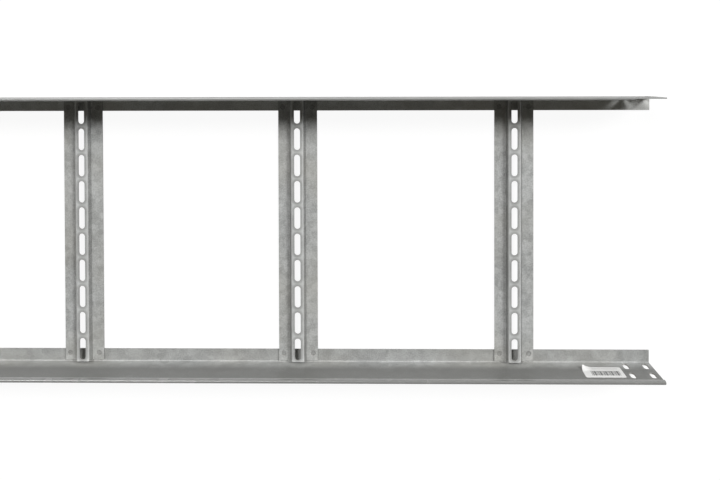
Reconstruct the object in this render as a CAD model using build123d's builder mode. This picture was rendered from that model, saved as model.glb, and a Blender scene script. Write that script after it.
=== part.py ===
from build123d import *

import os

# Cable ladder section: two rolled side rails joined by hat-section rungs.
# The section lies flat on the bottom flanges of its rails, open side up.
# X runs along the rails, Y across them and Z up out of the cable trough.
# The origin is at the middle of the underside. All sizes are in millimetres.

# Overall sizes
length = 2000.0
width = 310.0
height = 60.0

# Side rail, rolled from one strip
rail_sheet = 1.5
rail_bend = 1.5
bottom_flange = 16.0
bead_thickness = 4.0
bead_depth = 6.0
bead_proud = 1.2
bead_step = 2.5
bead_stops_short = 33.0

# Splice slots punched in the web, near each end of each rail
splice_slot_width = 6.0
splice_slot_length = 15.0
splice_slot_from_end = 7.5
splice_slot_pitch = 22.5
splice_row_spacing = 26.0
splice_rows_middle = 26.5

# Rungs, and where they stand along the rails
rung_pitch = 250.0
first_rung_from_end = 94.0
rung_sheet = 1.5
rung_bend = 1.0
rung_width = 45.0
rung_base = 19.0
rung_crown = 14.5
rung_rise = 6.0
rung_to_web = 2.0

# Slots along the crown of a rung
rung_slot_pitch = 30.4
rung_slot_length = 25.0
rung_slot_width = 7.0
rung_slot_edge = 2.0

# Worked out from the sizes above
rung_length = width - 2 * (rail_sheet + rung_to_web)
rung_half = rung_length / 2
rung_seat = rail_sheet
rung_flange_top = rung_seat + rung_sheet
rung_crown_top = rung_flange_top + rung_rise
rung_slot_count = int((rung_length - 2 * rung_slot_edge - rung_slot_length) // rung_slot_pitch) + 1
rung_count = int((length - first_rung_from_end - rung_width / 2) // rung_pitch) + 1
rung_places = [-length / 2 + first_rung_from_end + i * rung_pitch for i in range(rung_count)]
bead_radius = bead_thickness / 2


def rail_section(plane, beaded):
    """Draw the rail's section on a plane whose x points inward and whose y points up.

    The line follows the outer face of the sheet: along the bottom flange, round the
    bend and up the web. A beaded section then steps outward and curls over inward.
    """
    with BuildSketch(plane) as section:
        with BuildLine():
            if beaded:
                face = FilletPolyline(
                    (bottom_flange, 0),
                    (0, 0),
                    (0, height - bead_depth - bead_step),
                    (-bead_proud, height - bead_depth),
                    (-bead_proud, height - bead_radius),
                    radius=(rail_bend + rail_sheet, rail_bend, rail_bend + rail_sheet),
                )
                curl = ThreePointArc(
                    face @ 1,
                    (bead_radius - bead_proud, height),
                    (bead_thickness - bead_proud, height - bead_radius),
                )
                Line(curl @ 1, (bead_thickness - bead_proud, height - bead_depth))
            else:
                FilletPolyline(
                    (bottom_flange, 0),
                    (0, 0),
                    (0, height),
                    radius=rail_bend + rail_sheet,
                )
            offset(amount=rail_sheet, side=Side.RIGHT)
        make_face()
    return section.sketch


def side_rail(side, plain_end):
    """Make one rail on the side of the ladder that side gives, -1 or +1 along Y.

    The bead stops short of the end that plain_end gives, -1 or +1 along X. Both rails
    are the same rolled strip, one of them turned end for end.
    """
    bead_from, bead_to = sorted((-plain_end * length / 2, plain_end * (length / 2 - bead_stops_short)))
    plain_from, plain_to = sorted((plain_end * (length / 2 - bead_stops_short), plain_end * length / 2))
    runs = ((True, bead_from, bead_to), (False, plain_from, plain_to))
    with BuildPart() as rail:
        for beaded, start, stop in runs:
            plane = Plane(
                origin=(start, side * width / 2, 0),
                x_dir=(0, -side, 0),
                z_dir=(-side, 0, 0),
            )
            extrude(rail_section(plane, beaded), amount=stop - start, dir=(1, 0, 0))

        # Splice slots, long in Z, two rows of two at each end of the web
        web_middle = Plane(
            origin=(0, side * (width / 2 - rail_sheet / 2), splice_rows_middle),
            x_dir=(1, 0, 0),
            z_dir=(0, -1, 0),
        )
        slot_pair_x = length / 2 - splice_slot_from_end - splice_slot_pitch / 2
        with BuildSketch(web_middle):
            with Locations((-slot_pair_x, 0), (slot_pair_x, 0)):
                with GridLocations(splice_slot_pitch, splice_row_spacing, 2, 2):
                    SlotOverall(splice_slot_length, splice_slot_width, rotation=90)
        extrude(amount=rail_sheet, both=True, mode=Mode.SUBTRACT)
    return rail


def rung(place):
    """Make the rung whose middle stands at place along X."""
    middle = Plane(origin=(place, 0, 0), x_dir=(1, 0, 0), z_dir=(0, -1, 0))
    with BuildPart() as hat:
        # The line follows the upper face of the sheet, from edge to edge
        with BuildSketch(middle):
            with BuildLine():
                FilletPolyline(
                    (-rung_width / 2, rung_flange_top),
                    (-rung_base / 2, rung_flange_top),
                    (-rung_crown / 2, rung_crown_top),
                    (rung_crown / 2, rung_crown_top),
                    (rung_base / 2, rung_flange_top),
                    (rung_width / 2, rung_flange_top),
                    radius=(rung_bend, rung_bend + rung_sheet, rung_bend + rung_sheet, rung_bend),
                )
                offset(amount=rung_sheet, side=Side.RIGHT)
            make_face()
        extrude(amount=rung_half, both=True)

        # Slots along the crown
        with BuildSketch(Plane.XY.offset(rung_crown_top)):
            with Locations((place, 0)):
                with GridLocations(rung_slot_pitch, rung_slot_pitch, 1, rung_slot_count):
                    SlotOverall(rung_slot_length, rung_slot_width, rotation=90)
        extrude(amount=-2 * rung_sheet, mode=Mode.SUBTRACT)
    return hat


os.makedirs("parts", exist_ok=True)

left_rail = side_rail(side=1, plain_end=1)
left_rail.part.label = "left_rail"
export_step(left_rail.part, "parts/left_rail.step")

right_rail = side_rail(side=-1, plain_end=-1)
right_rail.part.label = "right_rail"
export_step(right_rail.part, "parts/right_rail.step")

for number, place in enumerate(rung_places, start=1):
    hat = rung(place)
    hat.part.label = f"rung_{number:02d}"
    export_step(hat.part, f"parts/rung_{number:02d}.step")
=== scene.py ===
"""Looks of a cable ladder section: two rolled side rails and a row of hat-section rungs.

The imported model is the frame. Everything here is in metres, with X along the rails, Y across
them and Z up out of the trough. The rungs get their clinch points, every sheet gets its zinc
coating, and one web carries a plain paper sticker.
"""

import logging
import math
from dataclasses import dataclass, field
from enum import Enum
from itertools import cycle
from typing import Any, Sequence, Union

import bmesh
import bpy
from mathutils import Matrix, Vector


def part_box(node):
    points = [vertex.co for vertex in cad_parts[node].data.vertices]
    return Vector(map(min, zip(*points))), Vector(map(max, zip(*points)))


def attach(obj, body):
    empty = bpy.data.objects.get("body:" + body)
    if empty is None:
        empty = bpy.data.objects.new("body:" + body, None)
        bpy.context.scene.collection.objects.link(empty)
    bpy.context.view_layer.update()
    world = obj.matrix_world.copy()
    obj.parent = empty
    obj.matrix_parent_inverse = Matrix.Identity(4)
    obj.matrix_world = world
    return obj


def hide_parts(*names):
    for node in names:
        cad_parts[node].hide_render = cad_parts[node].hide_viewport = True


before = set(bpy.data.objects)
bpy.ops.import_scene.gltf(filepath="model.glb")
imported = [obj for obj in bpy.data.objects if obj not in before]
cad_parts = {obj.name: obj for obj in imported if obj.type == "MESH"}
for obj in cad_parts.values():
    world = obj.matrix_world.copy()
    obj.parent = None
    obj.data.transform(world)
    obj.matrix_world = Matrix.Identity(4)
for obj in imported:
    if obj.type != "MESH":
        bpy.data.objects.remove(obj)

log = logging.getLogger("ladder")

MM = 0.001
WHITE = (1, 1, 1)
# A noise texture keeps mostly to the middle third of its range
NOISE_GAIN = 3
Colour = tuple[float, float, float]
Span = tuple[float, float]
Socket = bpy.types.NodeSocket
Number = Union["Value", float, int]


class Axis(Enum):
    """A direction in the row frame."""

    X = 0
    Y = 1
    Z = 2


class Value:
    """A number socket of a shader that takes part in Python arithmetic."""

    def __init__(self, shader: "Shader", socket: Socket) -> None:
        """Wrap a socket.

        Args:
            shader: The shader whose tree holds the socket.
            socket: An output socket that carries a number.
        """
        self.shader = shader
        self.socket = socket

    def _math(self, operation: str, *terms: Number) -> "Value":
        """Add a Math node.

        Args:
            operation: The Math node's operation.
            terms: Its inputs in order.

        Returns:
            The node's result.
        """
        return self.shader.value("ShaderNodeMath", {"operation": operation}, dict(enumerate(terms)))

    def __add__(self, other: Number) -> "Value":
        """Return self + other."""
        return self._math("ADD", self, other)

    def __radd__(self, other: Number) -> "Value":
        """Return other + self."""
        return self._math("ADD", other, self)

    def __sub__(self, other: Number) -> "Value":
        """Return self - other."""
        return self._math("SUBTRACT", self, other)

    def __rsub__(self, other: Number) -> "Value":
        """Return other - self."""
        return self._math("SUBTRACT", other, self)

    def __mul__(self, other: Number) -> "Value":
        """Return self * other."""
        return self._math("MULTIPLY", self, other)

    def __rmul__(self, other: Number) -> "Value":
        """Return other * self."""
        return self._math("MULTIPLY", other, self)

    def __abs__(self) -> "Value":
        """Return the value without its sign."""
        return self._math("ABSOLUTE", self)

    def or_(self, other: Number) -> "Value":
        """Return the larger of two values, which joins two masks."""
        return self._math("MAXIMUM", self, other)

    def folded(self, half: float) -> "Value":
        """Return how far the value is from the nearest multiple of twice half."""
        return self._math("PINGPONG", self, half)

    def root(self) -> "Value":
        """Return the square root."""
        return self._math("SQRT", self)

    def ramp(self, start: float, end: float) -> "Value":
        """Rise smoothly from 0 at start to 1 at end.

        Args:
            start: The value at which the result is 0.
            end: The value at which the result is 1.

        Returns:
            The smoothed and clamped value.
        """
        low, high = min(start, end), max(start, end)
        eased = self.shader.value(
            "ShaderNodeMapRange",
            {"interpolation_type": "SMOOTHSTEP"},
            {"Value": self, "From Min": low, "From Max": high},
        )
        return eased if start < end else 1 - eased


class Shader:
    """A node tree under construction."""

    def __init__(self, tree: bpy.types.NodeTree) -> None:
        """Take over a tree and empty it.

        Args:
            tree: The node tree of a material or a world.
        """
        self.tree = tree
        self.tree.nodes.clear()

    def node(
        self,
        kind: str,
        settings: dict[str, Any] | None = None,
        inputs: dict[str | int, Any] | None = None,
    ) -> bpy.types.Node:
        """Make a node, set it up and join its inputs.

        Args:
            kind: The node's type.
            settings: Attributes of the node, set before its inputs are filled.
            inputs: What goes into each socket, by name or number: a value or another socket.

        Returns:
            The new node.
        """
        made = self.tree.nodes.new(kind)
        for name, setting in (settings or {}).items():
            setattr(made, name, setting)
        for name, given in (inputs or {}).items():
            socket = made.inputs[name]
            if isinstance(given, Value):
                given = given.socket
            if isinstance(given, Socket):
                self.tree.links.new(given, socket)
            elif socket.type == "RGBA":
                socket.default_value = (*given, 1)
            else:
                socket.default_value = given
        return made

    def value(
        self,
        kind: str,
        settings: dict[str, Any] | None = None,
        inputs: dict[str | int, Any] | None = None,
        output: str | int = 0,
    ) -> Value:
        """Make a node and wrap one of its outputs.

        Args:
            kind: The node's type.
            settings: Attributes of the node.
            inputs: What goes into each socket.
            output: The output to wrap, by name or number.

        Returns:
            The wrapped output.
        """
        return Value(self, self.node(kind, settings, inputs).outputs[output])

    def place(self) -> Socket:
        """Return the point on the surface, in metres in the row frame."""
        return self.node("ShaderNodeTexCoord").outputs["Object"]

    def vector(self, operation: str, first: Socket, second: Socket | Sequence[float]) -> Socket:
        """Add a Vector Math node.

        Args:
            operation: The node's operation.
            first: Its first vector.
            second: Its second vector.

        Returns:
            The node's result.
        """
        made = self.node("ShaderNodeVectorMath", {"operation": operation}, {0: first, 1: second})
        return made.outputs[0]

    def scaled(self, vector: Socket, factors: Sequence[float]) -> Socket:
        """Return a vector with each axis multiplied by its factor."""
        return self.vector("MULTIPLY", vector, factors)

    def moved(self, vector: Socket, by: Socket | Sequence[float]) -> Socket:
        """Return the sum of two vectors."""
        return self.vector("ADD", vector, by)

    def parts(self, vector: Socket) -> list[Value]:
        """Return the X, Y and Z of a vector."""
        split = self.node("ShaderNodeSeparateXYZ", inputs={0: vector})
        return [Value(self, socket) for socket in split.outputs]

    def noise(self, vector: Socket, size: float, detail: float = 2.0) -> Value:
        """Make noise about 0.

        Args:
            vector: Where the noise is read.
            size: The size of its blotches, in the vector's unit.
            detail: How many finer layers it has.

        Returns:
            Noise that runs from about -1 to 1.
        """
        inputs = {"Vector": vector, "Scale": 1 / size, "Detail": detail}
        return (self.value("ShaderNodeTexNoise", inputs=inputs) - 0.5) * NOISE_GAIN

    def mix(self, factor: Number, first: Socket | Colour, second: Socket | Colour) -> Socket:
        """Mix two colours.

        Args:
            factor: 0 for the first colour and 1 for the second.
            first: A colour or a colour socket.
            second: A colour or a colour socket.

        Returns:
            The mixed colour.
        """
        inputs = {0: factor, 6: first, 7: second}
        return self.node("ShaderNodeMix", {"data_type": "RGBA"}, inputs).outputs[2]

    def seen(self) -> Value:
        """Make a mask of the rays that show a thing as it looks to the eye.

        Returns:
            1 for rays from the camera, from a reflection or through something clear.
        """
        path = self.node("ShaderNodeLightPath").outputs
        straight, mirrored = Value(self, path["Is Camera Ray"]), Value(self, path["Is Glossy Ray"])
        return straight.or_(mirrored).or_(Value(self, path["Is Transmission Ray"]))

    def output(self, surface: Socket, kind: str = "ShaderNodeOutputMaterial") -> None:
        """Join a surface to the tree's output, which kind names."""
        self.node(kind, inputs={"Surface": surface})


def new_material(name: str) -> tuple[bpy.types.Material, Shader]:
    """Make a material with an empty tree.

    Args:
        name: The material's name.

    Returns:
        The material and the shader that fills its tree.
    """
    material = bpy.data.materials.new(name)
    material.use_nodes = True
    return material, Shader(material.node_tree)


def new_object(name: str, mesh: bpy.types.Mesh) -> bpy.types.Object:
    """Make an object of a mesh and link it to the scene.

    Args:
        name: The object's name.
        mesh: Its mesh.

    Returns:
        The new object.
    """
    made = bpy.data.objects.new(name, mesh)
    bpy.context.scene.collection.objects.link(made)
    return made


def mesh_of(bm: bmesh.types.BMesh, name: str) -> bpy.types.Mesh:
    """Write a bmesh to a new mesh and free it.

    Args:
        bm: The bmesh, which is freed.
        name: The mesh's name.

    Returns:
        The new mesh.
    """
    mesh = bpy.data.meshes.new(name)
    bmesh.ops.recalc_face_normals(bm, faces=bm.faces)
    bm.to_mesh(mesh)
    bm.free()
    return mesh


def middle_of(node: str) -> float:
    """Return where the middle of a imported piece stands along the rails."""
    low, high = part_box(node)
    return (low.x + high.x) / 2


def smooth(mesh: bpy.types.Mesh, angle: float = math.radians(28), level: float = 0.999) -> None:
    """Shade a mesh smooth where it curves, with its level faces flat and its edges sharp.

    Args:
        mesh: The mesh to shade.
        angle: The angle from which an edge stays sharp.
        level: How squarely a face looks up or down from where it counts as level.
    """
    mesh.set_sharp_from_angle(angle=angle)
    curved = [abs(face.normal.z) < level for face in mesh.polygons]
    mesh.polygons.foreach_set("use_smooth", curved)


@dataclass(frozen=True)
class Mottle:
    """One scale of a surface's mottling.

    Attributes:
        size: The size of its blotches.
        detail: How many finer layers it has.
        tone: How strongly it shows in the colour.
        rough: How strongly it shows in the roughness.
        bump: How strongly it shows in the bump.
    """

    size: float
    detail: float
    tone: float = 0.0
    rough: float = 0.0
    bump: float = 0.0

    def read(self, shader: Shader, place: Socket) -> Value:
        """Return the mottling at a point, about 0."""
        return shader.noise(place, self.size, self.detail)


@dataclass(frozen=True)
class ZincCoat:
    """Galvanised steel strip: a matt zinc skin with soft crystals, clouds and rolling lines, and painted
    shade and a painted top tone in its colour.

    Attributes:
        name: The material's name.
        grain: The direction in which the strip was rolled.
        pale: The lighter zinc.
        deep: The darker zinc.
        warm: The zinc where it has dulled and yellowed.
        painted_shade_tone: The colour of the painted shade on the faces.
        painted_top_tone: The colour painted over the topmost part: a painted shade over a rail's bead and
            a painted highlight along a rung's crown.
        raw: The bare steel of a cut edge.
        clouds: The broadest mottling.
        blotches: The mottling a finger wide.
        specks: The finest mottling.
        rolling: The lines that the rolls left along the grain.
        drawn_out: How much the lines are scaled down along the grain, which makes them long.
        yellowing: Where the zinc has yellowed, and how far.
        yellowed_from: The noise values between which it yellows.
        crystal: The size of a zinc crystal.
        crystal_blend: How softly one crystal runs into the next.
        crystal_tone: How strongly the crystals show in the colour.
        crystal_rough: How strongly they show in the roughness.
        warp: How far the crystals' borders wander, and over which distance.
        contrast: The tones that turn the zinc fully dark and fully pale.
        upright: How squarely a face looks up where it begins to count as upright, and where it does.
        level: How squarely a face looks up where it begins to count as level, and where it does.
        upright_shade: How strongly the painted shade darkens the upright faces.
        level_shade: How strongly the painted shade darkens the level faces of a rail's flange.
        shade_from: The heights between which the painted shade grows up an upright face; on a rail the
            web stays lighter near its bend as a painted reflection of the flange.
        shade_to: The heights between which the painted shade ends, below a bead.
        flange_to: The heights between which a level face stops counting as a rail's flange.
        shade_cover: The share of the painted shade that the darkest mottling takes.
        shade_thins: How much less of it the palest mottling takes.
        top_from: The heights between which the topmost part begins.
        ink_rubbing_and_painted_top: How far that part has turned to the painted top tone.
        polish: How much smoother that part is.
        metallic: How much of the skin is bright metal and not dull oxide.
        gloss: The skin's specular level.
        roughness: The skin's mean roughness.
        cut_from: How squarely a face looks along the grain where it begins to be a cut edge.
        cut_rough: How much rougher a cut edge is.
        relief: How deep the skin's bump is.
        relief_strength: How strongly the bump shows.
    """

    name: str
    grain: Axis
    pale: Colour = (0.55, 0.56, 0.555)
    deep: Colour = (0.25, 0.255, 0.25)
    warm: Colour = (0.39, 0.375, 0.33)
    # The colour of the painted shade.
    painted_shade_tone: Colour = (0.17, 0.172, 0.165)
    # The painted top tone; here darker than the skin, a painted shade over a rail's bead.
    painted_top_tone: Colour = (0.22, 0.222, 0.217)
    raw: Colour = (0.27, 0.26, 0.24)
    clouds: Mottle = Mottle(70 * MM, 3, tone=0.2)
    blotches: Mottle = Mottle(13 * MM, 3, tone=0.22, rough=0.05)
    specks: Mottle = Mottle(1.3 * MM, 2, tone=0.5, bump=0.6)
    rolling: Mottle = Mottle(1.2 * MM, 3, tone=0.06, rough=0.02, bump=0.3)
    drawn_out: float = 0.08
    yellowing: Mottle = Mottle(90 * MM, 2, tone=0.6)
    yellowed_from: Span = (-0.4, 1.2)
    crystal: float = 8 * MM
    crystal_blend: float = 0.5
    crystal_tone: float = 0.4
    crystal_rough: float = 0.08
    warp: Span = (3 * MM, 4 * MM)
    contrast: Span = (-0.3, 1.3)
    upright: Span = (0.95, 0.6)
    level: Span = (0.8, 0.98)
    # Where and how strongly the painted shade darkens the faces.
    upright_shade: float = 0.92
    level_shade: float = 0.42
    shade_from: Span = (6 * MM, 27 * MM)
    shade_to: Span = (55 * MM, 51 * MM)
    flange_to: Span = (4 * MM, 2 * MM)
    shade_cover: float = 1.12
    shade_thins: float = 0.25
    top_from: Span = (54 * MM, 57 * MM)
    ink_rubbing_and_painted_top: float = 0.9
    polish: float = 0.26
    metallic: float = 0.1
    gloss: float = 0.6
    roughness: float = 0.5
    cut_from: Span = (0.2, 0.4)
    cut_rough: float = 0.1
    relief: float = 0.05 * MM
    relief_strength: float = 0.35

    def material(self) -> bpy.types.Material:
        """Build the material.

        Returns:
            The zinc coating.
        """
        material, shader = new_material(self.name)
        place = shader.place()
        clouds = self.clouds.read(shader, place)
        blotches = self.blotches.read(shader, place)
        specks = self.specks.read(shader, place)
        lines = self.lines(shader, place)
        crystals = self.crystals(shader, place)
        tone = 0.5 + clouds * self.clouds.tone + blotches * self.blotches.tone
        tone = tone + crystals * self.crystal_tone + lines * self.rolling.tone + specks * self.specks.tone
        edge = self.cut_edges(shader)
        rough = self.roughness + blotches * self.blotches.rough + crystals * self.crystal_rough
        rough = rough + lines * self.rolling.rough + edge * self.cut_rough
        rough = rough - self.topmost(shader, place) * self.polish
        relief = specks * self.specks.bump + lines * self.rolling.bump + crystals
        inputs = {"Strength": self.relief_strength, "Distance": self.relief, "Height": relief}
        bump = shader.node("ShaderNodeBump", inputs=inputs)
        principled = shader.node(
            "ShaderNodeBsdfPrincipled",
            inputs={
                "Base Color": shader.mix(edge, self.skin(shader, place, tone), self.raw),
                "Metallic": self.metallic,
                "Specular IOR Level": self.gloss,
                "Roughness": rough,
                "Normal": bump.outputs[0],
            },
        )
        shader.output(principled.outputs[0])
        return material

    def skin(self, shader: Shader, place: Socket, tone: Value) -> Socket:
        """Colour the skin.

        Args:
            shader: The shader under construction.
            place: The point on the surface.
            tone: All the mottling together, about 0.5.

        Returns:
            The colour of the zinc with its yellowing, the painted tone over its top and the painted shade
            over its faces.
        """
        skin = shader.mix(tone.ramp(*self.contrast), self.deep, self.pale)
        yellowed = self.yellowing.read(shader, place).ramp(*self.yellowed_from)
        skin = shader.mix(yellowed * self.yellowing.tone, skin, self.warm)
        # Painted tone over the topmost part: a painted shade on a rail's bead and a painted highlight on
        # a rung's crown.
        skin = shader.mix(self.topmost(shader, place) * self.ink_rubbing_and_painted_top, skin, self.painted_top_tone)
        cover = self.shade_cover - tone * self.shade_thins
        # Painted shade: the faces that the mask picks are darkened in the colour.
        return shader.mix(self.worn_ink_and_painted_shade(shader, place) * cover, skin, self.painted_shade_tone)

    def lines(self, shader: Shader, place: Socket) -> Value:
        """Draw the lines that the rolls left.

        Args:
            shader: The shader under construction.
            place: The point on the surface.

        Returns:
            A value about 0 that varies from one line to the next.
        """
        stretch = [1.0, 1.0, 1.0]
        stretch[self.grain.value] = self.drawn_out
        return self.rolling.read(shader, shader.scaled(place, stretch))

    def crystals(self, shader: Shader, place: Socket) -> Value:
        """Spread the zinc crystals over the strip.

        Args:
            shader: The shader under construction.
            place: The point on the surface.

        Returns:
            A value about 0 that drifts from one crystal to the next.
        """
        far, over = self.warp
        drift = shader.node("ShaderNodeTexNoise", inputs={"Vector": place, "Scale": 1 / over})
        bent = shader.moved(place, shader.scaled(drift.outputs["Color"], (far, far, far)))
        inputs = {"Vector": bent, "Scale": 1 / self.crystal, "Smoothness": self.crystal_blend}
        cells = shader.node("ShaderNodeTexVoronoi", {"feature": "SMOOTH_F1"}, inputs)
        return shader.parts(cells.outputs["Color"])[0] - 0.5

    def facing(self, shader: Shader, axis: Axis) -> Value:
        """Return how squarely a face looks along an axis, either way."""
        normal = shader.node("ShaderNodeNewGeometry").outputs["True Normal"]
        return abs(shader.parts(normal)[axis.value])

    def height(self, shader: Shader, place: Socket) -> Value:
        """Return the height of a point."""
        return shader.parts(place)[Axis.Z.value]

    def topmost(self, shader: Shader, place: Socket) -> Value:
        """Return a mask of the topmost part, which takes the painted top tone and is smoother."""
        return self.height(shader, place).ramp(*self.top_from)

    def worn_ink_and_painted_shade(self, shader: Shader, place: Socket) -> Value:
        """Paint shade up the upright faces and over the rail's flange.

        Args:
            shader: The shader under construction.
            place: The point on the surface.

        Returns:
            How far the painted shade darkens the skin, from 0 to 1.
        """
        height = self.height(shader, place)
        facing = self.facing(shader, Axis.Z)
        # Painted shade up the upright faces; on a rail the web stays lighter near its bend as a painted
        # reflection of the flange.
        upright = facing.ramp(*self.upright) * height.ramp(*self.shade_from) * height.ramp(*self.shade_to)
        # Painted shade over the level faces of a rail's flange.
        flat = facing.ramp(*self.level) * height.ramp(*self.flange_to)
        return upright * self.upright_shade + flat * self.level_shade

    def cut_edges(self, shader: Shader) -> Value:
        """Return a mask of the faces that a saw or a punch left across the strip's grain."""
        return self.facing(shader, self.grain).ramp(*self.cut_from)


@dataclass(frozen=True)
class SlotRow:
    """The row of round-ended slots along a rung's crown, which repeats from rung to rung.

    Attributes:
        rung: Where one rung stands along the rails.
        rung_pitch: The distance from rung to rung.
        pitch: The distance from slot to slot.
        length: A slot's length.
        width: A slot's width.
    """

    rung: float
    rung_pitch: float
    pitch: float = 30.4 * MM
    length: float = 25 * MM
    width: float = 7 * MM

    def distance(self, shader: Shader, place: Socket) -> Value:
        """Measure from a point to the nearest slot.

        Args:
            shader: The shader under construction.
            place: The point on the surface.

        Returns:
            The distance from the slot's edge, which is negative inside the slot.
        """
        x, y, _ = shader.parts(place)
        across = (x - self.rung).folded(self.rung_pitch / 2)
        along = (y - self.pitch / 2).folded(self.pitch / 2)
        beyond = (along - (self.length - self.width) / 2).or_(0)
        return (beyond * beyond + across * across).root() - self.width / 2


@dataclass(frozen=True)
class RungCoat(ZincCoat):
    """The zinc of the rungs, with painted shade round the slots and in the clinch points.

    The crown takes a paler tone as a painted highlight, the flanges take no painted shade, and the side
    walls take painted shade from the bend up.

    Attributes:
        slots: The slots round which the shade is painted.
        slot_shade: How strongly the painted shade darkens the rim of a slot.
        slot_rim: The distances from the slot between which that painted shade grows.
        pressed: How strongly the painted shade darkens the floor of a clinch point.
        pressed_from: The heights between which a face counts as pressed, below the flange's face.
    """

    pale: Colour = (0.54, 0.55, 0.545)
    # The colour of the painted shade on the side walls, round the slots and in the clinch points.
    painted_shade_tone: Colour = (0.08, 0.08, 0.076)
    # A paler top tone: a painted highlight along the crown.
    painted_top_tone: Colour = (0.64, 0.65, 0.645)
    crystal: float = 5.5 * MM
    upright_shade: float = 0.42
    level_shade: float = 0.0
    shade_from: Span = (3.0 * MM, 3.6 * MM)
    top_from: Span = (7.8 * MM, 8.8 * MM)
    ink_rubbing_and_painted_top: float = 0.6
    polish: float = 0.1
    metallic: float = 0.2
    gloss: float = 0.3
    slots: SlotRow = SlotRow(0.0, 250 * MM)
    # Painted shade round the slots and in the floors of the clinch points.
    slot_shade: float = 0.4
    slot_rim: Span = (4.2 * MM, 0.4 * MM)
    pressed: float = 0.35
    pressed_from: Span = (2.9 * MM, 2.65 * MM)

    def worn_ink_and_painted_shade(self, shader: Shader, place: Socket) -> Value:
        """Paint shade round the slots and in the clinch points too.

        Args:
            shader: The shader under construction.
            place: The point on the surface.

        Returns:
            How far the painted shade darkens the skin, from 0 to 1.
        """
        # Painted shade round each slot, darkest at its edge.
        rims = self.slots.distance(shader, place).ramp(*self.slot_rim) * self.slot_shade
        # Painted shade in the floor of each clinch point.
        floors = self.height(shader, place).ramp(*self.pressed_from) * self.pressed
        return super().worn_ink_and_painted_shade(shader, place).or_(rims).or_(floors)


@dataclass(frozen=True)
class Paper:
    """Coated sticker paper, a little handled.

    Attributes:
        name: The material's name.
        white: The clean paper.
        soiled: The paper where dust has rubbed in.
        dirt: The dust.
        soiled_from: The noise values between which the dust shows.
        fibres: The paper's fibres.
        roughness: The paper's mean roughness.
        coat: The weight of its clear coat.
        coat_roughness: The coat's roughness.
        relief: How deep the fibres' bump is.
        relief_strength: How strongly the bump shows.
    """

    name: str
    white: Colour = (0.95, 0.95, 0.94)
    soiled: Colour = (0.8, 0.8, 0.78)
    dirt: Mottle = Mottle(9 * MM, 4, tone=0.5)
    soiled_from: Span = (0.1, 1.2)
    fibres: Mottle = Mottle(0.4 * MM, 2, rough=0.05)
    roughness: float = 0.5
    coat: float = 0.7
    coat_roughness: float = 0.2
    relief: float = 0.02 * MM
    relief_strength: float = 0.2

    def material(self) -> bpy.types.Material:
        """Build the material.

        Returns:
            The sticker's paper.
        """
        material, shader = new_material(self.name)
        place = shader.place()
        dirt = self.dirt.read(shader, place).ramp(*self.soiled_from)
        fibres = self.fibres.read(shader, place)
        inputs = {"Strength": self.relief_strength, "Distance": self.relief, "Height": fibres}
        bump = shader.node("ShaderNodeBump", inputs=inputs)
        principled = shader.node(
            "ShaderNodeBsdfPrincipled",
            inputs={
                "Base Color": shader.mix(dirt * self.dirt.tone, self.white, self.soiled),
                "Coat Weight": self.coat,
                "Coat Roughness": self.coat_roughness,
                "Roughness": self.roughness + fibres * self.fibres.rough,
                "Normal": bump.outputs[0],
            },
        )
        shader.output(principled.outputs[0])
        return material


@dataclass(frozen=True)
class Ink:
    """Matt printing ink.

    Attributes:
        name: The material's name.
        full: The ink where it took well.
        worn_ink_and_painted_shade: The ink where it has thinned.
        ink_rubbing_and_painted_top: Where it has thinned.
        worn_from: The noise values between which the ink thins away.
        roughness: The roughness of the full ink.
    """

    name: str
    full: Colour = (0.09, 0.09, 0.09)
    worn_ink_and_painted_shade: Colour = (0.3, 0.3, 0.3)
    ink_rubbing_and_painted_top: Mottle = Mottle(3 * MM, 3, rough=0.1)
    worn_from: Span = (-0.2, 1.0)
    roughness: float = 0.6

    def material(self) -> bpy.types.Material:
        """Build the material.

        Returns:
            The sticker's ink.
        """
        material, shader = new_material(self.name)
        wear = self.ink_rubbing_and_painted_top.read(shader, shader.place()).ramp(*self.worn_from)
        inputs = {
            "Base Color": shader.mix(wear, self.full, self.worn_ink_and_painted_shade),
            "Roughness": self.roughness + wear * self.ink_rubbing_and_painted_top.rough,
        }
        shader.output(shader.node("ShaderNodeBsdfPrincipled", inputs=inputs).outputs[0])
        return material


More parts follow.
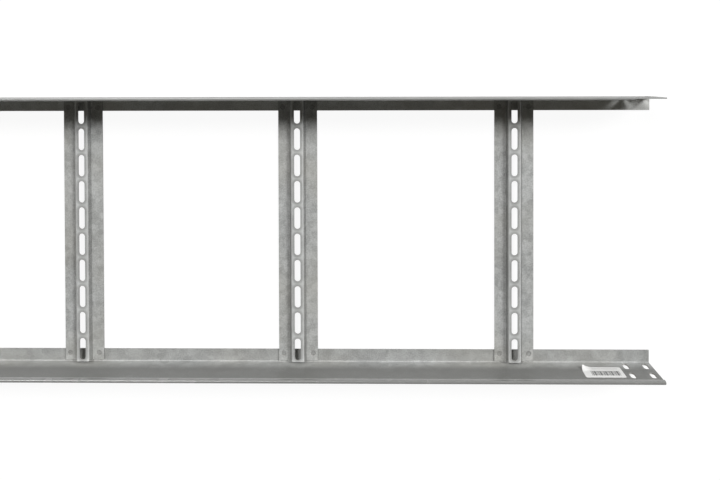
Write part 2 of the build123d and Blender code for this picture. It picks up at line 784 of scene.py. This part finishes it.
@dataclass(frozen=True)
class ClinchPoint:
    """A round recess where a punch has pressed one sheet into the next.

    Attributes:
        rim: The radius at the sheet's face.
        throat: The radius below the rounded rim.
        floor: The radius of the flat floor.
        depth: The depth of the floor.
        rim_depth: The depth at which the rim has turned into the wall.
        clearance: How far the punch reaches above the sheet.
        sides: The facets round the recess.
    """

    rim: float = 3.2 * MM
    throat: float = 2.8 * MM
    floor: float = 2.4 * MM
    depth: float = 0.5 * MM
    rim_depth: float = 0.2 * MM
    clearance: float = 1 * MM
    sides: int = 32

    def profile(self) -> list[tuple[float, float]]:
        """Draw the outline of the punch.

        Returns:
            Its radii and heights, from the top of its axis to its tip.
        """
        quarter = [math.radians(a) for a in (90, 67, 45, 22, 0)]
        gap = self.rim - self.throat
        rim = [(self.rim - gap * math.cos(a), -self.rim_depth * (1 - math.sin(a))) for a in quarter]
        corner = self.throat - self.floor
        base = [
            (self.floor + corner * math.cos(a), -self.depth + 0.5 * corner * (1 - math.sin(a)))
            for a in (math.radians(d) for d in (0, 45, 90))
        ]
        return [(0, self.clearance), (self.rim, self.clearance), *rim, *base, (0, -self.depth)]

    def punch(self, bm: bmesh.types.BMesh, centre: Vector) -> None:
        """Add the solid that a press leaves behind.

        Args:
            bm: The bmesh that takes the solid.
            centre: The middle of the recess on the sheet's face.
        """
        rings = []
        for radius, height in self.profile():
            if radius == 0:
                rings.append([bm.verts.new(centre + Vector((0, 0, height)))])
                continue
            turns = [2 * math.pi * i / self.sides for i in range(self.sides)]
            ring = [Vector((radius * math.cos(t), radius * math.sin(t), height)) for t in turns]
            rings.append([bm.verts.new(centre + point) for point in ring])
        for upper, lower in zip(rings, rings[1:]):
            for i in range(self.sides):
                j = (i + 1) % self.sides
                corners = [upper[i % len(upper)], lower[i % len(lower)]]
                corners += [lower[j % len(lower)], upper[j % len(upper)]]
                bm.faces.new(list(dict.fromkeys(corners)))


@dataclass
class RungRow:
    """The row of rungs: one hat section with its clinch points, set down at each place.

    Attributes:
        nodes: The rungs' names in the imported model.
        seat_edge: How far from the middle the rails' flanges begin.
        coat: The zinc coating.
        clinch: The recess that is pressed at each fixing.
        across: How far a clinch point stands from the rung's middle.
        from_edge: How far a clinch point stands from the edge of the rail's flange.
        sheet: The thickness of the strip.
        weld: The distance within which split corners are joined.
    """

    nodes: Sequence[str]
    seat_edge: float
    coat: bpy.types.Material
    clinch: ClinchPoint = field(default_factory=ClinchPoint)
    across: float = 17 * MM
    from_edge: float = 4.3 * MM
    sheet: float = 1.5 * MM
    weld: float = 0.001 * MM

    def fixings(self, node: str) -> list[Vector]:
        """Find the clinch points of a rung.

        Args:
            node: The rung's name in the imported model.

        Returns:
            The middle of each, on the upper face of the rung's flanges.
        """
        along = self.seat_edge + self.from_edge
        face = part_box(node)[0].z + self.sheet
        return [
            Vector((middle_of(node) + side * self.across, end * along, face))
            for side in (-1, 1)
            for end in (-1, 1)
        ]

    def welded(self, node: str) -> bpy.types.Mesh:
        """Copy a rung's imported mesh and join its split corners.

        Args:
            node: The rung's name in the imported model.

        Returns:
            The copy.
        """
        bm = bmesh.new()
        bm.from_mesh(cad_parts[node].data)
        bmesh.ops.remove_doubles(bm, verts=bm.verts, dist=self.weld)
        return mesh_of(bm, "rung_sheet")

    def punches(self, node: str) -> bpy.types.Mesh:
        """Make the solids that the four presses of a rung leave behind.

        Args:
            node: The rung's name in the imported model.

        Returns:
            One mesh with all of them.
        """
        bm = bmesh.new()
        for fixing in self.fixings(node):
            self.clinch.punch(bm, fixing)
        return mesh_of(bm, "rung_punches")

    def clinched(self, node: str) -> bpy.types.Mesh:
        """Press the clinch points into a rung.

        Args:
            node: The rung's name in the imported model.

        Returns:
            The mesh of the pressed rung, where it stands.
        """
        blank = new_object("rung_blank", self.welded(node))
        press = new_object("rung_press", self.punches(node))
        cut = blank.modifiers.new("clinch", "BOOLEAN")
        cut.operation = "DIFFERENCE"
        cut.object = press
        bpy.context.view_layer.update()
        shaped = blank.evaluated_get(bpy.context.evaluated_depsgraph_get())
        mesh = bpy.data.meshes.new_from_object(shaped)
        for helper in (blank, press):
            bpy.data.objects.remove(helper)
        mesh.materials.clear()
        mesh.materials.append(self.coat)
        smooth(mesh)
        return mesh

    def set_down(self, mesh: bpy.types.Mesh, node: str, step: float) -> bpy.types.Object:
        """Stand a copy of the pressed rung in for a node.

        Args:
            mesh: The pressed rung.
            node: The node that the copy replaces.
            step: How far along the rails the copy moves.

        Returns:
            The new piece.
        """
        copy = mesh.copy()
        copy.name = f"{node}_clinched"
        copy.transform(Matrix.Translation((step, 0, 0)))
        piece = new_object(f"{node}_clinched", copy)
        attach(piece, "root")
        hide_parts(node)
        return piece

    def build(self) -> list[bpy.types.Object]:
        """Press one rung and set it down at every place.

        Returns:
            The rungs in order.
        """
        first = self.nodes[0]
        pressed = self.clinched(first)
        steps = [middle_of(node) - middle_of(first) for node in self.nodes]
        return [self.set_down(pressed, node, step) for node, step in zip(self.nodes, steps)]


@dataclass
class SideRail:
    """One rolled side rail, shown as it is packed.

    Attributes:
        node: The rail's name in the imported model.
        coat: The zinc coating.
    """

    node: str
    coat: bpy.types.Material

    def dress(self) -> bpy.types.Object:
        """Coat the rail.

        Returns:
            The rail's piece.
        """
        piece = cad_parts[self.node]
        for slot in piece.material_slots:
            slot.link = "OBJECT"
            slot.material = self.coat
        return piece


@dataclass
class Sticker:
    """A paper sticker on the inside of a web, with one corner that has let go and curls.

    Attributes:
        rail: The node that carries it.
        paper: The paper's material.
        ink: The material of the printed bars.
        near: How far its nearer side is from the rail's +X end.
        width: Its size along the rail.
        foot: The height of its lower side.
        height: Its size up the web.
        lift: How far the free corner stands off the web.
        curl: How far the free corner has rolled back over the paper.
        loose: How far from that corner the paper has let go.
        corner: The radius of the paper's corners.
        thickness: The paper's thickness.
        web_inset: How far the web's inner face is from the outside of the rail's bead.
        glue: How far the back of the paper is from the web.
        ink_thickness: How far the ink stands up.
        printed: Where the printing begins and ends along the sticker.
        bar_foot: Where the bars begin, up the sticker.
        bar_top: Where the bars end, up the sticker.
        bar_widths: The widths of the bars, which repeat.
        bar_gap: The gap between two bars.
        rule_from: Where the thin rule begins along the sticker.
        rule: The heights of the thin rule's sides.
        paper_steps: The paper's faces along and up.
        bar_steps: A bar's faces along and up.
        rule_steps: The rule's faces along and up.
    """

    rail: str
    paper: bpy.types.Material
    ink: bpy.types.Material
    near: float = 38 * MM
    width: float = 44.5 * MM
    foot: float = 16.6 * MM
    height: float = 28.8 * MM
    lift: float = 3.4 * MM
    curl: float = 2.2 * MM
    loose: float = 13 * MM
    corner: float = 1.5 * MM
    thickness: float = 0.15 * MM
    web_inset: float = 2.7 * MM
    glue: float = 0.03 * MM
    ink_thickness: float = 0.02 * MM
    printed: Span = (8.5 * MM, 40.5 * MM)
    bar_foot: float = 11 * MM
    bar_top: float = 23.5 * MM
    bar_widths: tuple[float, ...] = (0.6 * MM, 1.2 * MM, 2.0 * MM)
    bar_gap: float = 0.8 * MM
    rule_from: float = 11.5 * MM
    rule: Span = (4.6 * MM, 5.2 * MM)
    paper_steps: tuple[int, int] = (44, 48)
    bar_steps: tuple[int, int] = (1, 4)
    rule_steps: tuple[int, int] = (24, 1)

    def point(self, along: float, up: float, off: float) -> Vector:
        """Return a point of the sticker.

        Args:
            along: The distance from its left side.
            up: The distance from its lower side.
            off: The distance from the web, where the paper lies on it.

        Returns:
            The point in the row frame.
        """
        free = max(0.0, 1 - math.hypot(along, up) / self.loose)
        low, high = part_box(self.rail)
        left = high.x - self.near - self.width
        web = low.y + self.web_inset
        along += self.curl * free**2
        return Vector((left + along, web + off + self.lift * free**1.5, self.foot + up))

    def inset(self, up: float) -> float:
        """Return how far the paper's rounded corners draw its sides in at a height."""
        near = self.corner - min(up, self.height - up)
        return self.corner - math.sqrt(max(0.0, self.corner**2 - near**2)) if near > 0 else 0.0

    def patch(
        self,
        bm: bmesh.types.BMesh,
        box: Sequence[float],
        off: float,
        thick: float,
        steps: tuple[int, int],
        cornered: bool = False,
    ) -> None:
        """Add a closed patch of sheet that follows the sticker.

        Args:
            bm: The bmesh that takes the patch.
            box: Its left, lower, right and upper side on the sticker.
            off: The distance of its back from the web, where the paper lies on it.
            thick: Its thickness.
            steps: Its faces along and up.
            cornered: Whether it has the paper's rounded corners.
        """
        left, low, right, top = box
        columns, rows = steps
        layers = []
        for depth in (off, off + thick):
            grid = []
            for i in range(columns + 1):
                heights = [low + (top - low) * j / rows for j in range(rows + 1)]
                drawn = [self.inset(up) if cornered else 0.0 for up in heights]
                ways = [left + draw + (right - left - 2 * draw) * i / columns for draw in drawn]
                points = [self.point(along, up, depth) for along, up in zip(ways, heights)]
                grid.append([bm.verts.new(point) for point in points])
            layers.append(grid)
        for grid in layers:
            for i in range(columns):
                for j in range(rows):
                    bm.faces.new((grid[i][j], grid[i + 1][j], grid[i + 1][j + 1], grid[i][j + 1]))
        rim = [(i, 0) for i in range(columns)] + [(columns, j) for j in range(rows)]
        rim += [(i, rows) for i in range(columns, 0, -1)] + [(0, j) for j in range(rows, 0, -1)]
        back, front = layers
        for (i, j), (k, m) in zip(rim, rim[1:] + rim[:1]):
            bm.faces.new((back[i][j], back[k][m], front[k][m], front[i][j]))

    def sheet_of_paper(self) -> bpy.types.Object:
        """Build the paper.

        Returns:
            The paper's piece.
        """
        bm = bmesh.new()
        box = (0, 0, self.width, self.height)
        self.patch(bm, box, self.glue, self.thickness, self.paper_steps, cornered=True)
        mesh = mesh_of(bm, "sticker_paper")
        mesh.materials.append(self.paper)
        smooth(mesh)
        return new_object("sticker_paper", mesh)

    def bars(self) -> bpy.types.Object:
        """Build the printed bars, whose widths repeat over and over, and a thin rule beside them.

        Returns:
            One piece with all of them.
        """
        bm = bmesh.new()
        left, last = self.printed
        face = self.glue + self.thickness
        for width in cycle(self.bar_widths):
            if left + width > last:
                break
            bar = (left, self.bar_foot, left + width, self.bar_top)
            self.patch(bm, bar, face, self.ink_thickness, self.bar_steps)
            left += width + self.bar_gap
        rule = (self.rule_from, self.rule[0], last, self.rule[1])
        self.patch(bm, rule, face, self.ink_thickness, self.rule_steps)
        mesh = mesh_of(bm, "sticker_bars")
        mesh.materials.append(self.ink)
        return new_object("sticker_bars", mesh)

    def build(self) -> list[bpy.types.Object]:
        """Build the sticker and stick it to the rail.

        Returns:
            The paper and its printing.
        """
        pieces = [self.sheet_of_paper(), self.bars()]
        for piece in pieces:
            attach(piece, "root")
        return pieces


@dataclass(frozen=True)
class SoftLamp:
    """A lamp so far off that it fills a round patch of the sky.

    Attributes:
        name: The lamp's name.
        level: Its level on a surface that faces it.
        towards: The direction in which it stands.
        spread: The angle that it fills, seen from the object.
    """

    name: str
    level: float
    towards: tuple[float, float, float]
    spread: float = math.radians(21)

    def hang(self) -> None:
        """Hang the lamp."""
        light = bpy.data.lights.new(self.name, "SUN")
        light.energy = self.level
        light.angle = self.spread
        holder = bpy.data.objects.new(self.name, light)
        bpy.context.scene.collection.objects.link(holder)
        holder.rotation_euler = Vector(self.towards).to_track_quat("Z", "Y").to_euler()


@dataclass(frozen=True)
class Viewpoint:
    """The place from which the photograph was taken, above the ladder and looking down.

    Attributes:
        before_end: How far it stands before the ladder's +X end.
        across: How far it stands from the ladder's middle line.
        height: Its height above the floor.
        turns: The camera's turns in radians, about Y, X and Z.
        lens: The focal length in millimetres.
        sensor: The width of the sensor in millimetres.
        shift: How far the picture is shifted along and up, in picture widths.
        far: The distance up to which the camera sees.
    """

    before_end: float = 0.2831
    across: float = 0.1773
    height: float = 0.8697
    turns: tuple[tuple[Axis, float], ...] = (
        (Axis.Y, 0.0145),
        (Axis.X, -0.0133447),
        (Axis.Z, -0.0023098),
    )
    lens: float = 37.5
    sensor: float = 36
    shift: Span = (-0.045464, -0.21199)
    far: float = 200

    def set_up(self) -> None:
        """Set the camera up and make it the scene's."""
        data = bpy.data.cameras.new("camera")
        data.lens = self.lens
        data.sensor_width = self.sensor
        data.shift_x, data.shift_y = self.shift
        data.clip_end = self.far
        holder = bpy.data.objects.new("camera", data)
        bpy.context.scene.collection.objects.link(holder)
        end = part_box("right_rail")[1].x
        place = Matrix.Translation((end - self.before_end, self.across, self.height))
        for axis, turn in self.turns:
            place = place @ Matrix.Rotation(turn, 4, axis.name)
        holder.matrix_world = place
        bpy.context.scene.camera = holder


@dataclass
class Studio:
    """A white floor, two soft lamps behind the ladder, a plain world and the camera.

    Attributes:
        half_floor: Half the side of the floor.
        drop: How far the floor lies below the rails, so that the two faces don't meet.
        matt: The floor's own grey, which takes the shadow.
        glow: The floor's level where it is seen, which makes it white.
        plain: The world's level.
        dusk: The world's colour overhead.
        wall: The heights between which the white wall round the horizon begins.
        lamps: The lamps.
        viewpoint: Where the camera stands.
    """

    half_floor: float = 30.0
    drop: float = 0.2 * MM
    matt: Colour = (0.1, 0.1, 0.1)
    glow: float = 0.93
    plain: float = 0.095
    dusk: Colour = (1.0, 0.96, 0.86)
    wall: Span = (0.4, 0.2)
    lamps: tuple[SoftLamp, ...] = (
        SoftLamp("right_lamp", 2.65, (1.12, 0.67, 1.0)),
        SoftLamp("left_lamp", 1.87, (-0.45, 0.67, 1.0)),
    )
    viewpoint: Viewpoint = Viewpoint()

    def floor(self) -> None:
        """Lay a floor that looks white and still takes the object's shadow."""
        material, shader = new_material("floor_white")
        matt = shader.node("ShaderNodeBsdfDiffuse", inputs={"Color": self.matt})
        inputs = {"Color": WHITE, "Strength": shader.seen() * self.glow}
        glow = shader.node("ShaderNodeEmission", inputs=inputs)
        both = shader.node("ShaderNodeAddShader", inputs={0: matt.outputs[0], 1: glow.outputs[0]})
        shader.output(both.outputs[0])
        bm = bmesh.new()
        bmesh.ops.create_grid(bm, x_segments=4, y_segments=4, size=self.half_floor)
        mesh = mesh_of(bm, "floor")
        mesh.materials.append(material)
        made = new_object("floor", mesh)
        made.location.z = -self.drop

    def sky(self) -> None:
        """Give the world its plain level, with a white wall round the horizon where it is seen."""
        world = bpy.data.worlds.new("studio")
        bpy.context.scene.world = world
        world.use_nodes = True
        shader = Shader(world.node_tree)
        overhead = shader.node("ShaderNodeTexCoord").outputs["Generated"]
        height = shader.parts(overhead)[Axis.Z.value]
        wall = shader.seen() * height.ramp(*self.wall)
        inputs = {
            "Color": shader.mix(wall, self.dusk, WHITE),
            "Strength": self.plain + wall * (1 - self.plain),
        }
        back = shader.node("ShaderNodeBackground", inputs=inputs)
        shader.output(back.outputs[0], "ShaderNodeOutputWorld")

    def build(self) -> None:
        """Set up the studio."""
        bpy.context.scene.view_settings.view_transform = "Standard"
        self.floor()
        self.sky()
        for lamp in self.lamps:
            lamp.hang()
        self.viewpoint.set_up()


def report(piece: bpy.types.Object) -> None:
    """Log a piece's name and how many faces it has."""
    log.info("%s: %d faces", piece.name, len(piece.data.polygons))


def main() -> None:
    """Build the ladder's looks and the studio round it."""
    logging.basicConfig(level=logging.INFO, format="%(name)s: %(message)s")
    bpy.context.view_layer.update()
    coats = {
        # The left rail's coat is a paler copy of the right rail's: painted light that lifts its shaded
        # flange and web, with no painted shade on its flange and a darker painted tone on its bead.
        "left_rail": ZincCoat(
            "galvanised_left_rail",
            Axis.X,
            pale=(0.72, 0.735, 0.73),
            deep=(0.42, 0.43, 0.425),
            warm=(0.5, 0.48, 0.43),
            painted_top_tone=(0.31, 0.315, 0.31),
            level_shade=0.0,
            polish=0.1,
        ),
        # The right rail keeps the plain coat, with painted shade up its web and over its flange and a
        # darker painted tone on its bead.
        "right_rail": ZincCoat("galvanised_right_rail", Axis.X),
    }
    rungs = sorted(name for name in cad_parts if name.startswith("rung"))
    first, second = [middle_of(node) for node in rungs[:2]]
    slots = SlotRow(first, second - first)
    rung_coat = RungCoat("galvanised_rung", Axis.Y, slots=slots).material()
    for node, coat in coats.items():
        report(SideRail(node, coat.material()).dress())
    seat_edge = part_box("left_rail")[0].y
    for piece in RungRow(rungs, seat_edge, rung_coat).build():
        report(piece)
    paper, ink = Paper("sticker_paper").material(), Ink("sticker_ink").material()
    for piece in Sticker("right_rail", paper, ink).build():
        report(piece)
    Studio().build()


if __name__ == "__main__":
    main()
